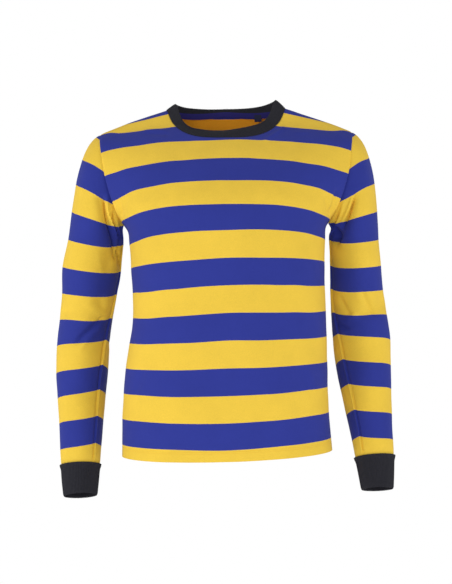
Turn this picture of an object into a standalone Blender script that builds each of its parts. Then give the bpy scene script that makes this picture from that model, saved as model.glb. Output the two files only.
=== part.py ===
"""A men's long-sleeved crew-neck t-shirt in striped cotton jersey, hollow, in the form it has when worn.

Metres. X runs to the wearer's left, Y to the back and Z up. The origin is in the middle of the neck
opening, about level with the high shoulder points. Each piece that is cut and sewn is one closed wall
round the middle of its cloth. Pieces that share a seam share its points and the direction of their
cut edges there, so that the edges lie face to face, a seam gap apart.
"""

import math

import bpy
import numpy as np

# Thickness of each cloth, and the space between two pieces at a seam
JERSEY = 0.0018
RIB = 0.0024
LABEL = 0.0010
SEAM_GAP = 0.0003
MOST_MITRE = 1.8  # how far a seam's edge may lengthen where two pieces meet at a sharp angle

# Levels of the body, as lengths of cloth up from the hem
UNDERARM = 0.445
SHOULDER = 0.710
FRONT_NECK = 0.604
BACK_NECK = 0.670

# The neck seam, as shares of the half width at the shoulder, and how square its two curves are
NECK_SHARE = 0.475
FRONT_NECK_POWER = 3.2
BACK_NECK_POWER = 2.5

# Neckband by its bearing round the neck, in degrees from the front towards the wearer's left: its
# height, and its lean towards the neck from upright
BAND_COLUMNS = ("bearing", "height", "lean")
BAND = (
    (-180.0, 0.0195, -24.0),
    (-130.0, 0.0200, 28.0),
    (-90.0, 0.0225, 69.0),
    (-45.0, 0.0230, 54.0),
    (0.0, 0.0230, 42.0),
    (45.0, 0.0230, 46.0),
    (90.0, 0.0228, 52.0),
    (130.0, 0.0210, 20.0),
    (180.0, 0.0195, -24.0),
)
BAND_ROUNDING = 0.0012

# Lengths of cloth down the sleeve from the shoulder point
UNDERARM_DOWN = 0.147
CAP_END = 0.200
SLEEVE_LENGTH = 0.620
CUFF_END = 0.677

# Faces across and along each piece
NECK_COLUMNS = 14
SHOULDER_COLUMNS = 7
BODY_ROWS = 15
YOKE_ROWS = 12
CAP_ROWS = 7
SLEEVE_ROWS = 20
CUFF_ROWS = 3
BAND_ROWS = 3

# Side seam up to the underarm, then the armhole up to the shoulder point. Each level gives the half
# width, the height of the edge, how far the section is shifted to the wearer's left, and how much
# higher it is on the wearer's left than on the right.
EDGE_COLUMNS = ("level", "half_width", "height", "shift", "lean")
EDGE = (
    (0.000, 0.1945, -0.6490, 0.0022, 0.0120),
    (0.070, 0.1915, -0.5800, 0.0000, 0.0125),
    (0.166, 0.1875, -0.4865, 0.0005, 0.0125),
    (0.262, 0.1802, -0.3925, 0.0065, 0.0135),
    (0.358, 0.1812, -0.2995, 0.0030, 0.0125),
    (0.406, 0.1836, -0.2555, 0.0020, 0.0100),
    (0.432, 0.1866, -0.2310, 0.0010, 0.0070),
    (0.445, 0.1930, -0.2217, 0.0000, 0.0050),
    (0.502, 0.2120, -0.1832, 0.0010, 0.0060),
    (0.550, 0.2265, -0.1338, 0.0010, 0.0045),
    (0.598, 0.2360, -0.0810, 0.0000, 0.0045),
    (0.654, 0.2411, -0.0525, 0.0000, 0.0050),
    (0.690, 0.2429, -0.0425, 0.0000, 0.0057),
    (0.710, 0.2432, -0.0405, 0.0000, 0.0060),
)

# Depth of the side seam and of the shoulder seam, and of the armhole on the front and on the back
# panel between them
SIDE_DEPTH = -0.012
SHOULDER_DEPTH = 0.026
ARMHOLE_COLUMNS = ("level", "front", "back")
ARMHOLE = (
    (0.445, SIDE_DEPTH, SIDE_DEPTH),
    (0.470, -0.036, 0.030),
    (0.502, -0.048, 0.052),
    (0.550, -0.048, 0.068),
    (0.598, -0.033, 0.072),
    (0.654, -0.008, 0.062),
    (0.690, 0.010, 0.044),
    (0.710, SHOULDER_DEPTH, SHOULDER_DEPTH),
)

# Middle of each panel: depth and height, then how square the section is (power), how it turns into
# the edge (0.5 turns right round, 1 meets the edge at a slope), and how its height falls sideways.
MIDDLE_COLUMNS = ("level", "depth", "height", "power", "turn", "fall")
FRONT = (
    (0.000, -0.1250, -0.6516, 2.3, 0.50, 2.0),
    (0.118, -0.1370, -0.5362, 2.3, 0.50, 2.0),
    (0.214, -0.1405, -0.4405, 2.3, 0.50, 2.0),
    (0.310, -0.1395, -0.3447, 2.3, 0.50, 2.0),
    (0.358, -0.1415, -0.2970, 2.3, 0.50, 2.0),
    (0.406, -0.1425, -0.2490, 2.3, 0.50, 2.0),
    (0.440, -0.1385, -0.2155, 2.4, 0.50, 2.0),
    (0.470, -0.1300, -0.1870, 2.8, 0.68, 2.0),
    (0.502, -0.1165, -0.1568, 2.9, 0.82, 2.0),
    (0.550, -0.0915, -0.1113, 2.8, 0.90, 2.0),
    (0.598, -0.0600, -0.0709, 2.4, 0.95, 2.0),
    (0.650, -0.0140, -0.0188, 2.2, 1.00, 1.8),
    (0.690, 0.0130, 0.0278, 2.0, 1.00, 1.5),
    (0.710, 0.0300, 0.0376, 2.0, 1.00, 1.28),
)
BACK = (
    (0.000, 0.0950, -0.6680, 2.3, 0.50, 2.0),
    (0.100, 0.0910, -0.5710, 2.3, 0.50, 2.0),
    (0.200, 0.0840, -0.4735, 2.3, 0.50, 2.0),
    (0.300, 0.0870, -0.3760, 2.3, 0.50, 2.0),
    (0.400, 0.1010, -0.2790, 2.3, 0.50, 2.0),
    (0.440, 0.1060, -0.2400, 2.5, 0.50, 2.0),
    (0.470, 0.1090, -0.2100, 2.8, 0.66, 2.0),
    (0.502, 0.1110, -0.1780, 3.0, 0.78, 2.0),
    (0.550, 0.1110, -0.1310, 3.0, 0.86, 1.9),
    (0.598, 0.1060, -0.0840, 2.9, 0.92, 1.7),
    (0.640, 0.0960, -0.0360, 2.7, 0.95, 1.5),
    (0.670, 0.0850, 0.0105, 2.6, 0.97, 1.4),
    (0.690, 0.0620, 0.0300, 2.4, 0.98, 1.3),
    (0.710, 0.0300, 0.0376, 2.0, 1.00, 1.28),
)

# Rings of a sleeve at lengths down it: how far out its middle is, its depth and height, its half
# width and half depth, and how far the underarm seam has turned to the front, in degrees.
RING_COLUMNS = ("down", "out", "depth", "height", "half_width", "half_depth", "twist")
RIGHT_SLEEVE = (
    (0.200, 0.2500, 0.012, -0.2543, 0.0511, 0.060, 0.0),
    (0.244, 0.2582, 0.018, -0.3060, 0.0545, 0.060, 4.0),
    (0.292, 0.2632, 0.025, -0.3546, 0.0512, 0.057, 10.0),
    (0.341, 0.2694, 0.029, -0.4009, 0.0492, 0.055, 18.0),
    (0.390, 0.2733, 0.026, -0.4460, 0.0492, 0.053, 26.0),
    (0.438, 0.2737, 0.017, -0.4925, 0.0485, 0.050, 32.0),
    (0.486, 0.2726, 0.006, -0.5394, 0.0447, 0.047, 35.0),
    (0.535, 0.2707, -0.006, -0.5872, 0.0406, 0.043, 36.0),
    (0.583, 0.2693, -0.019, -0.6340, 0.0371, 0.039, 36.0),
    (0.620, 0.2675, -0.029, -0.6700, 0.0345, 0.036, 36.0),
    (0.650, 0.2660, -0.038, -0.6975, 0.0322, 0.034, 36.0),
    (0.677, 0.2642, -0.046, -0.7225, 0.0292, 0.031, 36.0),
)
LEFT_SLEEVE = (
    (0.200, 0.2454, 0.012, -0.2495, 0.0456, 0.060, 0.0),
    (0.244, 0.2490, 0.018, -0.2990, 0.0474, 0.060, 4.0),
    (0.292, 0.2515, 0.025, -0.3460, 0.0497, 0.058, 10.0),
    (0.341, 0.2558, 0.029, -0.3910, 0.0518, 0.056, 20.0),
    (0.390, 0.2597, 0.026, -0.4345, 0.0538, 0.054, 30.0),
    (0.438, 0.2612, 0.017, -0.4805, 0.0518, 0.051, 36.0),
    (0.486, 0.2640, 0.006, -0.5265, 0.0473, 0.047, 40.0),
    (0.535, 0.2675, -0.006, -0.5735, 0.0419, 0.043, 42.0),
    (0.583, 0.2710, -0.019, -0.6195, 0.0370, 0.039, 42.0),
    (0.620, 0.2735, -0.029, -0.6550, 0.0345, 0.036, 42.0),
    (0.650, 0.2745, -0.038, -0.6838, 0.0312, 0.033, 42.0),
    (0.677, 0.2750, -0.046, -0.7110, 0.0278, 0.030, 42.0),
)
SLEEVES = {"sleeve_right": (-1, RIGHT_SLEEVE), "sleeve_left": (1, LEFT_SLEEVE)}
CUFFS = {"cuff_right": (-1, RIGHT_SLEEVE), "cuff_left": (1, LEFT_SLEEVE)}

# How the cloth leaves the armhole at the shoulder point, half way down and at the underarm: its
# outward share, the rest being downward, and how far it carries on that way and along the arm.
CAP_COLUMNS = ("turn", "outward", "carry", "arrive")
CAP = (
    (0.0, 0.92, 0.155, 0.24),
    (0.5, 0.70, 0.110, 0.14),
    (1.0, 0.55, 0.035, 0.04),
)

# Largest folds, on the mid-surface. Each runs between two places, given by the share round or across
# the piece and the length along it: from across, from along, to across, to along, half width and
# height. A height below zero is a trough.
FOLDS = {
    "sleeve_right": (
        (0.30, 0.115, 0.44, 0.215, 0.013, -0.0050),
        (0.37, 0.085, 0.47, 0.170, 0.009, 0.0035),
        (0.14, 0.330, 0.42, 0.300, 0.016, -0.0045),
        (0.60, 0.120, 0.55, 0.230, 0.014, -0.0045),
        (0.86, 0.345, 0.60, 0.315, 0.016, -0.0040),
    ),
    "sleeve_left": (
        (0.28, 0.120, 0.43, 0.205, 0.013, -0.0050),
        (0.36, 0.080, 0.46, 0.165, 0.009, 0.0035),
        (0.12, 0.310, 0.36, 0.345, 0.016, -0.0045),
        (0.61, 0.115, 0.55, 0.225, 0.014, -0.0045),
        (0.85, 0.320, 0.60, 0.350, 0.016, -0.0040),
    ),
}
FOLD_FADE = 0.020  # a fold dies out over this length of cloth at a seam and at its own ends

# The label inside the back of the neck, on the wearer's left: the share across the back at which it
# hangs, and how much of a face of the back panel it covers
LABEL_SHARE = 0.27
LABEL_COVER = 0.86
LABEL_STEPS = 4

# Colours in linear RGB, with their roughness
BLUE = ((0.034, 0.047, 0.330), 0.85)
CHARCOAL = ((0.017, 0.018, 0.024), 0.90)
NAVY_LABEL = ((0.012, 0.012, 0.040), 0.60)


def table_column(table, names, name):
    return np.array([row[names.index(name)] for row in table], float)


def smooth(stations, values, where):
    """A smooth curve through the values at the stations, read at where."""
    where = np.asarray(where, float)
    slopes = np.gradient(values, stations)
    low = np.clip(np.searchsorted(stations, where, "right") - 1, 0, len(stations) - 2)
    step = stations[low + 1] - stations[low]
    t = (where - stations[low]) / step
    from_values = (2 * t**3 - 3 * t**2 + 1) * values[low] + (3 * t**2 - 2 * t**3) * values[low + 1]
    from_slopes = (t**3 - 2 * t**2 + t) * slopes[low] + (t**3 - t**2) * slopes[low + 1]
    return from_values + step * from_slopes


def read(table, names, name, where):
    """One named column of a table as a smooth curve along its first column."""
    return smooth(table_column(table, names, names[0]), table_column(table, names, name), where)


def unit(vectors):
    return vectors / np.linalg.norm(vectors, axis=-1, keepdims=True)


def panel_points(face, share, level):
    """Points of the front or back panel's middle: share is -1 to 1 across it, level is along it."""
    table = FRONT if face == "front" else BACK
    half_width = read(EDGE, EDGE_COLUMNS, "half_width", level)
    edge_height = read(EDGE, EDGE_COLUMNS, "height", level)
    edge_depth = read(ARMHOLE, ARMHOLE_COLUMNS, face, np.maximum(level, UNDERARM))
    shift = read(EDGE, EDGE_COLUMNS, "shift", level)
    lean = read(EDGE, EDGE_COLUMNS, "lean", level)
    depth = read(table, MIDDLE_COLUMNS, "depth", level)
    height = read(table, MIDDLE_COLUMNS, "height", level)
    power = read(table, MIDDLE_COLUMNS, "power", level)
    turn = read(table, MIDDLE_COLUMNS, "turn", level)
    fall = read(table, MIDDLE_COLUMNS, "fall", level)
    out = np.minimum(np.abs(share), 1.0)
    bow = (1 - out**power) ** turn
    x = half_width * share + shift
    y = edge_depth + (depth - edge_depth) * bow
    z = height + (edge_height - height) * out**fall + lean * share / 2
    return np.stack([x, y, z], axis=-1)


def top_level(face, share):
    """The level at which a column of the panel ends: at the neck seam or the shoulder seam."""
    low = FRONT_NECK if face == "front" else BACK_NECK
    power = FRONT_NECK_POWER if face == "front" else BACK_NECK_POWER
    inside = np.minimum(np.abs(share) / NECK_SHARE, 1.0)
    return SHOULDER - (SHOULDER - low) * np.sqrt(1 - inside**power)


def panel_shares(finer=1):
    """Shares across a panel, closer together towards the neck points and the side seams."""
    quarter = math.pi / 2
    neck = NECK_SHARE * np.sin(np.linspace(-quarter, quarter, NECK_COLUMNS * finer + 1))
    side = np.sin(np.linspace(math.asin(NECK_SHARE), quarter, SHOULDER_COLUMNS * finer + 1)[1:])
    return np.concatenate([-side[::-1], neck, side])


def panel_grid(face, finer=1):
    """Share and level of each point of a panel's grid, hem first."""
    share = panel_shares(finer)
    below = np.linspace(0, UNDERARM, BODY_ROWS * finer + 1)
    above = np.linspace(0, 1, YOKE_ROWS * finer + 1)[1:]
    top = top_level(face, share)
    low_rows = np.repeat(below[:, None], len(share), axis=1)
    high_rows = UNDERARM + above[:, None] * (top - UNDERARM)[None, :]
    level = np.concatenate([low_rows, high_rows])
    return np.repeat(share[None, :], len(level), axis=0), level


def armhole(side, finer=1):
    """The armhole seam as a closed ring: shoulder point, front, underarm, back. With each point's turn,
    from 0 at the shoulder point to 1 at the underarm and 2 back at the shoulder."""
    levels = np.linspace(UNDERARM, SHOULDER, YOKE_ROWS * finer + 1)
    front = panel_points("front", np.full(len(levels), float(side)), levels)[::-1]
    back = panel_points("back", np.full(len(levels), float(side)), levels)
    turns = []
    for half in (front, back[::-1]):
        run = np.linalg.norm(np.diff(half, axis=0), axis=1)
        turns.append(np.concatenate([[0], np.cumsum(run)]) / run.sum())
    ring = np.concatenate([front, back[1:-1]])
    turn = np.concatenate([turns[0], 2 - turns[1][::-1][1:-1]])
    return ring, turn


def sleeve_ring(side, table, turn, down):
    """Points of a ring round the arm and the arm's direction there."""
    step = 0.004
    ends = []
    for where in (down - step, down, down + step):
        out = read(table, RING_COLUMNS, "out", where)
        depth = read(table, RING_COLUMNS, "depth", where)
        height = read(table, RING_COLUMNS, "height", where)
        ends.append(np.array([side * out, depth, height]))
    along = unit(ends[2] - ends[0])
    outward = np.array([side, 0.0, 0.0])
    outward = unit(outward - along * outward.dot(along))
    forward = unit(np.cross(along, outward)) * side
    twist = read(table, RING_COLUMNS, "twist", down)
    angle = math.pi * turn - math.radians(twist)
    half_width = read(table, RING_COLUMNS, "half_width", down)
    half_depth = read(table, RING_COLUMNS, "half_depth", down)
    ring = (
        ends[1]
        + half_width * np.cos(angle)[:, None] * outward
        + half_depth * np.sin(angle)[:, None] * forward
    )
    return ring, along


def cap_points(side, table, ring, turn, share):
    """A row of the sleeve cap, from the armhole at share 0 to the first whole ring at share 1."""
    end, along = sleeve_ring(side, table, turn, CAP_END)
    bend = np.minimum(turn, 2 - turn)
    outward = read(CAP, CAP_COLUMNS, "outward", bend)
    carry = read(CAP, CAP_COLUMNS, "carry", bend)
    arrive = read(CAP, CAP_COLUMNS, "arrive", bend)
    swell = -0.18 * np.sin(math.pi * turn)
    leave = unit(np.stack([side * outward, swell, -np.sqrt(1 - outward**2)], axis=-1))
    start_slope = leave * carry[:, None]
    end_slope = along[None, :] * arrive[:, None]
    t = share
    return (
        (2 * t**3 - 3 * t**2 + 1) * ring
        + (t**3 - 2 * t**2 + t) * start_slope
        + (3 * t**2 - 2 * t**3) * end
        + (t**3 - t**2) * end_slope
    )


def cap_downs(rows, turn):
    """Length down the sleeve at each point of the cap, in step with the cloth's own run."""
    start = UNDERARM_DOWN * np.minimum(turn, 2 - turn)
    run = np.cumsum(np.linalg.norm(np.diff(rows, axis=0), axis=-1), axis=0)
    share = np.concatenate([np.zeros((1, len(turn))), run / run[-1]])
    return start + (CAP_END - start) * share


def sleeve_grid(side, table, finer=1):
    """A sleeve from the armhole to the cuff seam, with the length down it at each point."""
    ring, turn = armhole(side, finer)
    shares = np.linspace(0, 1, CAP_ROWS * finer + 1)
    cap = np.array([cap_points(side, table, ring, turn, share) for share in shares])
    lengths = np.linspace(CAP_END, SLEEVE_LENGTH, SLEEVE_ROWS * finer + 1)[1:]
    arm = np.array([sleeve_ring(side, table, turn, down)[0] for down in lengths])
    arm_downs = np.repeat(lengths[:, None], len(turn), axis=1)
    downs = np.concatenate([cap_downs(cap, turn), arm_downs])
    return np.concatenate([cap, arm]), downs, turn


def cuff_grid(side, table, finer=1):
    turn = armhole(side, finer)[1]
    downs = np.linspace(SLEEVE_LENGTH, CUFF_END, CUFF_ROWS * finer + 1)
    return np.array([sleeve_ring(side, table, turn, down)[0] for down in downs])


def neck_seam(finer=1):
    """The neck seam as a closed ring: along the front from the wearer's right, then the back."""
    share = panel_shares(finer)
    share = share[np.abs(share) <= NECK_SHARE + 1e-9]
    front = panel_points("front", share, top_level("front", share))
    back = panel_points("back", share, top_level("back", share))
    return np.concatenate([front, back[::-1][1:-1]])


def band_grid(finer=1):
    """The neckband, standing on the neck seam and leaning towards the neck."""
    seam = neck_seam(finer)
    middle = np.array([0.0, 0.005, 0.0])
    inward = middle - seam
    inward[:, 2] = 0
    inward = unit(inward)
    bearing = np.degrees(np.arctan2(-inward[:, 0], inward[:, 1]))
    lean = np.radians(read(BAND, BAND_COLUMNS, "lean", bearing))
    height = read(BAND, BAND_COLUMNS, "height", bearing)
    up = np.array([0.0, 0.0, 1.0])
    rise = np.sin(lean)[:, None] * inward + np.cos(lean)[:, None] * up
    outward = np.sin(lean)[:, None] * up - np.cos(lean)[:, None] * inward
    rows = []
    for share in np.linspace(0, 1, BAND_ROWS * finer + 1):
        crown = BAND_ROUNDING * math.sin(math.pi * share)
        rows.append(seam + rise * height[:, None] * share + outward * crown)
    return np.array(rows)


def fold_height(folds, across, along, across_length):
    """Height of the folds at places on a piece, whose width is across_length at each place."""
    total = np.zeros_like(along)
    for a0, l0, a1, l1, half_width, height in folds:
        run = np.array([(a1 - a0) * np.mean(across_length), l1 - l0])
        length = np.linalg.norm(run)
        run = run / length
        x = (across - a0) * across_length
        y = along - l0
        ahead = x * run[0] + y * run[1]
        aside = x * run[1] - y * run[0]
        inside = np.clip(ahead / FOLD_FADE + 0.5, 0, 1) * np.clip((length - ahead) / FOLD_FADE + 0.5, 0, 1)
        inside = inside * inside * (3 - 2 * inside)
        total += height * inside * np.exp(-((aside / half_width) ** 2))
    return total


def surface_normals(grid, closed, sign):
    """Unit normals of a grid of points, whose rows may close on themselves."""
    along = np.gradient(grid, axis=0)
    if closed:
        around = (np.roll(grid, -1, axis=1) - np.roll(grid, 1, axis=1)) / 2
    else:
        around = np.gradient(grid, axis=1)
    normal = np.cross(around, along) * sign
    length = np.linalg.norm(normal, axis=-1, keepdims=True)
    return normal / np.maximum(length, 1e-12)


class Piece:
    """A named piece of cloth: the grid of its middle, its thickness and which way faces out."""

    def __init__(self, name, grid, thickness, look, closed=False, sign=1, seams="all"):
        self.name = name
        self.grid = grid
        self.thickness = thickness
        self.look = look
        self.closed = closed
        self.normals = surface_normals(grid, closed, sign)
        self.sign = sign
        self.seams = seams

    def border(self):
        """Row and column of every point on the piece's edges."""
        rows, columns = self.grid.shape[:2]
        found = [(i, j) for i in (0, rows - 1) for j in range(columns)]
        if not self.closed:
            found += [(i, j) for i in range(1, rows - 1) for j in (0, columns - 1)]
        return found


def seam_key(point):
    return tuple(np.round(point, 5) + 0.0)


def share_seams(pieces):
    """The direction of the cut edge at each seam point, common to all the pieces that meet there."""
    meeting = {}
    for piece in pieces:
        for i, j in piece.border():
            meeting.setdefault(seam_key(piece.grid[i, j]), []).append(piece.normals[i, j])
    shared = {}
    for key, normals in meeting.items():
        mean = unit(np.sum(normals, axis=0))
        facing = max(np.mean([mean.dot(n) for n in normals]), 1 / MOST_MITRE)
        shared[key] = mean / facing
    return shared


def trimmed(piece, shared):
    """The piece's grid with every edge drawn back from its seam, further where the seam is sharp."""
    grid = piece.grid.copy()
    source = piece.grid
    back = np.zeros(source.shape[:2])
    for i, j in piece.border():
        back[i, j] = SEAM_GAP * 0.65 * np.linalg.norm(shared[seam_key(source[i, j])])
    rows, columns = source.shape[:2]
    for i, inner in ((0, 1), (rows - 1, rows - 2)):
        if piece.closed:
            along = np.roll(source[i], -1, axis=0) - np.roll(source[i], 1, axis=0)
        else:
            along = np.gradient(source[i], axis=0)
        along = unit(along)
        inward = source[inner] - source[i]
        inward = unit(inward - along * np.sum(inward * along, axis=-1, keepdims=True))
        grid[i] += inward * back[i][:, None]
    if not piece.closed:
        for j, inner in ((0, 1), (columns - 1, columns - 2)):
            along = unit(np.gradient(source[:, j], axis=0))
            inward = source[:, inner] - source[:, j]
            inward = unit(inward - along * np.sum(inward * along, axis=-1, keepdims=True))
            grid[:, j] += inward * back[:, j][:, None]
    return grid


def cut_edge(a, b, under, keys):
    """Two triangles of a cut edge, split the same way by every piece that meets there."""
    if keys[a] < keys[b]:
        return [(a + under, b + under, b), (a + under, b, a)]
    return [(a + under, b + under, a), (b + under, b, a)]


def wall_mesh(piece, shared):
    """A closed wall of even thickness round the piece's middle."""
    grid = trimmed(piece, shared)
    offset = piece.normals.copy()
    for i, j in piece.border():
        offset[i, j] = shared[seam_key(piece.grid[i, j])]
    keys = [seam_key(point) for point in piece.grid.reshape(-1, 3)]
    rows, columns = grid.shape[:2]
    outer = (grid + offset * piece.thickness / 2).reshape(-1, 3)
    inner = (grid - offset * piece.thickness / 2).reshape(-1, 3)
    points = np.concatenate([outer, inner])
    under = rows * columns
    last = columns if piece.closed else columns - 1
    faces = []
    for i in range(rows - 1):
        for j in range(last):
            k = (j + 1) % columns
            a, b = i * columns + j, i * columns + k
            c, d = (i + 1) * columns + k, (i + 1) * columns + j
            faces.append((a, b, c, d))
            faces.append((a + under, d + under, c + under, b + under))
    top = (rows - 1) * columns
    for j in range(last):
        k = (j + 1) % columns
        faces += cut_edge(j, k, under, keys)
        faces += cut_edge(top + k, top + j, under, keys)
    if not piece.closed:
        for i in range(rows - 1):
            a, b = i * columns, (i + 1) * columns
            faces += cut_edge(b, a, under, keys)
            faces += cut_edge(a + columns - 1, b + columns - 1, under, keys)
    if piece.sign < 0:
        faces = [face[::-1] for face in faces]
    mesh = bpy.data.meshes.new(piece.name)
    mesh.from_pydata(points.tolist(), [], faces)
    mesh.shade_smooth()
    mesh.set_sharp_from_angle(angle=math.radians(50))
    return mesh


def cloth_material(name, look):
    colour, roughness = look
    material = bpy.data.materials.new(name)
    material.use_nodes = True
    shader = material.node_tree.nodes["Principled BSDF"]
    shader.inputs["Base Color"].default_value = (*colour, 1.0)
    shader.inputs["Roughness"].default_value = roughness
    shader.inputs["Metallic"].default_value = 0.0
    return material


def panel_piece(face):
    share, level = panel_grid(face)
    grid = panel_points(face, share, level)
    sign = 1 if face == "front" else -1
    return Piece(f"{face}_panel", grid, JERSEY, BLUE, sign=sign)


def sleeve_piece(name):
    side, table = SLEEVES[name]
    grid, downs, turn = sleeve_grid(side, table)
    normals = surface_normals(grid, True, side)
    around = math.pi * (read(table, RING_COLUMNS, "half_width", np.clip(downs, CAP_END, None)) * 2.1)
    across = np.repeat((turn / 2)[None, :], len(downs), axis=0)
    height = fold_height(FOLDS[name], across, downs, around)
    run = np.minimum(np.arange(len(grid)), np.arange(len(grid))[::-1])
    height *= np.clip((run - 1) / 3, 0, 1)[:, None]
    return Piece(name, grid + normals * height[..., None], JERSEY, BLUE, closed=True, sign=side)


def cuff_piece(name):
    side, table = CUFFS[name]
    return Piece(name, cuff_grid(side, table), RIB, CHARCOAL, closed=True, sign=side)


def band_piece():
    return Piece("neckband", band_grid(), RIB, CHARCOAL, closed=True, sign=1)


def label_piece(back, shared):
    """A small plain label under the neck seam, made from the face of the back panel that it lies on."""
    columns = back.grid.shape[1]
    shares = panel_shares()
    left = int(np.argmin(np.abs((shares[:-1] + shares[1:]) / 2 - LABEL_SHARE)))
    clear = back.thickness / 2 + 2 * SEAM_GAP + LABEL / 2
    corners = {}
    for row in (-2, -1):
        for column in (left, left + 1):
            seam = row == -1
            normal = back.normals[row, column]
            if seam:
                normal = shared[seam_key(back.grid[row, column])]
            corners[row, column] = back.grid[row, column] - normal * clear
    shares_across = np.linspace(1 - LABEL_COVER, LABEL_COVER, LABEL_STEPS)
    shares_up = np.linspace(1 - LABEL_COVER, LABEL_COVER, LABEL_STEPS)
    grid = np.empty((LABEL_STEPS, LABEL_STEPS, 3))
    for i, up in enumerate(shares_up):
        for j, across in enumerate(shares_across):
            low = corners[-2, left] * (1 - across) + corners[-2, left + 1] * across
            high = corners[-1, left] * (1 - across) + corners[-1, left + 1] * across
            grid[i, j] = low * (1 - up) + high * up
    return Piece("neck_label", grid, LABEL, NAVY_LABEL, sign=-1)


def clear_scene():
    for old in list(bpy.data.objects):
        bpy.data.objects.remove(old, do_unlink=True)


def main():
    clear_scene()
    collection = bpy.data.collections.new("long_sleeved_t_shirt")
    bpy.context.scene.collection.children.link(collection)
    pieces = [panel_piece("front"), panel_piece("back"), band_piece()]
    pieces += [sleeve_piece(name) for name in SLEEVES]
    pieces += [cuff_piece(name) for name in CUFFS]
    shared = share_seams(pieces)
    label = label_piece(pieces[1], shared)
    shared.update(share_seams([label]))
    pieces.append(label)
    for piece in pieces:
        mesh = wall_mesh(piece, shared)
        mesh.materials.append(cloth_material(piece.name, piece.look))
        collection.objects.link(bpy.data.objects.new(piece.name, mesh))


if __name__ == "__main__":
    main()
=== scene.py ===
"""Looks of a men's long-sleeved crew-neck t-shirt in striped cotton jersey, hollow, in its worn form.

Metres, in the frame of the CAD model: X runs to the wearer's left, Y to the back and Z up. Each piece of
cloth is a thin shell on the form of its solid, worked out from the same sections, with its creases placed
one by one. Every point carries its place on the cloth in metres, which the stripes and the knit follow.
"""

import math

import bpy
import numpy as np
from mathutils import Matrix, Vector


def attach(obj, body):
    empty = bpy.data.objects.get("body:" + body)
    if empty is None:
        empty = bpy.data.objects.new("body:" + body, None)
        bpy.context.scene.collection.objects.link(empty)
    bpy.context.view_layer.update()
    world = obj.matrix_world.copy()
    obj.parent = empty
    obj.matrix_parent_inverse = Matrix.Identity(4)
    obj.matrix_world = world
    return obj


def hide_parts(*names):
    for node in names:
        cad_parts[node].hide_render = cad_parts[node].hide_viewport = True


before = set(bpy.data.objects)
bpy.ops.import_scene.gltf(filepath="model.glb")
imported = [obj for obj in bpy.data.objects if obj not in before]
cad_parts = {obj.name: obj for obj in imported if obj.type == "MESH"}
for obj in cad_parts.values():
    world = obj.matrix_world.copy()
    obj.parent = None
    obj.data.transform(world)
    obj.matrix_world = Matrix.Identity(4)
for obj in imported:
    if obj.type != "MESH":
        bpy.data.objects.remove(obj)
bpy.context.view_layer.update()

# Thickness of each cloth as it shows
JERSEY = 0.0011
RIB = 0.0022
LABEL = 0.0005
TAPE = 0.0006

# Levels of the body, as lengths of cloth up from the hem
UNDERARM = 0.445
SHOULDER = 0.710

# The neck seam: its half width as a share of the shoulder's, the point that its bearings are taken from, and
# by face its level in the middle and how square its curve is
NECK_SHARE = 0.475
NECK_MIDDLE = (0.0, 0.005, 0.0)
NECK = {"front": (0.604, 3.2), "back": (0.670, 2.5)}

# Lengths of cloth down the sleeve from the shoulder point
UNDERARM_DOWN = 0.147
CAP_END = 0.200
SLEEVE_LENGTH = 0.620
CUFF_END = 0.677
CAP_ROUND = 0.30  # share of the way to the underarm over which the cap's edge is cut round at the top
RING_STEP = 0.004  # how far up and down the arm from a ring its direction is taken

# Faces across and along each piece before they are made finer, as in its solid
NECK_COLUMNS = 14
SHOULDER_COLUMNS = 7
BODY_ROWS = 15
YOKE_ROWS = 12
CAP_ROWS = 7
SLEEVE_ROWS = 20
FINER = 5
NECK_FINER = 6  # how much finer again the neck seam is worked out for what is sewn to it
NEAR_SEAM = (0.30, 0.65)  # extra lines of faces in the last space before a seam, as shares of it

# Neckband by its bearing round the neck, in degrees from the front towards the wearer's left. The rows past
# 180 degrees let the curve close smoothly at the back.
BAND_COLUMNS = ("bearing", "height", "lean")
BAND = (
    (-200.0, 0.0185, -2.0),
    (-180.0, 0.0178, -10.0),
    (-160.0, 0.0185, -2.0),
    (-130.0, 0.0212, 24.0),
    (-108.0, 0.0236, 42.0),
    (-90.0, 0.0208, 74.0),
    (-45.0, 0.0230, 50.0),
    (0.0, 0.0230, 42.0),
    (45.0, 0.0246, 36.0),
    (90.0, 0.0250, 60.0),
    (112.0, 0.0284, 32.0),
    (135.0, 0.0228, 14.0),
    (160.0, 0.0192, -2.0),
    (180.0, 0.0178, -10.0),
    (200.0, 0.0185, -2.0),
)
BAND_HEIGHT = 0.0225
BAND_CUT = 0.023  # its height as cut
BAND_CROWN = 0.0016
BAND_ROWS = 12
BAND_FOLD = 0.88  # share of its height from which it thins towards the folded edge
CUFF_ROWS = 18
CUFF_FOLD = 0.94
CUFF_MEASURED = 0.64  # length down the sleeve at which the cuff's own length round is taken
CUFF_BULGE = 0.0022  # how far the gathered rib stands out at the cuff seam
CUFF_BULGE_LENGTH = 0.0060
FOLD_END = 0.97  # share of a fold's round that is drawn, so that its edge keeps some thickness
RIB_SPACING = 0.0028
RIB_HEIGHT = 0.00035
FACES_PER_RIB = 6

# Cloth across half a panel and round a sleeve, for the knit: a whole number of its columns
PANEL_HALF = 0.2500
SLEEVE_ROUND = 0.3360

# Size of a stitch in jersey and of a row in rib, twice the real one so that it shows
WALE = 0.0016
COURSE = 0.0013
RIB_COURSE = 0.0014

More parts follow.
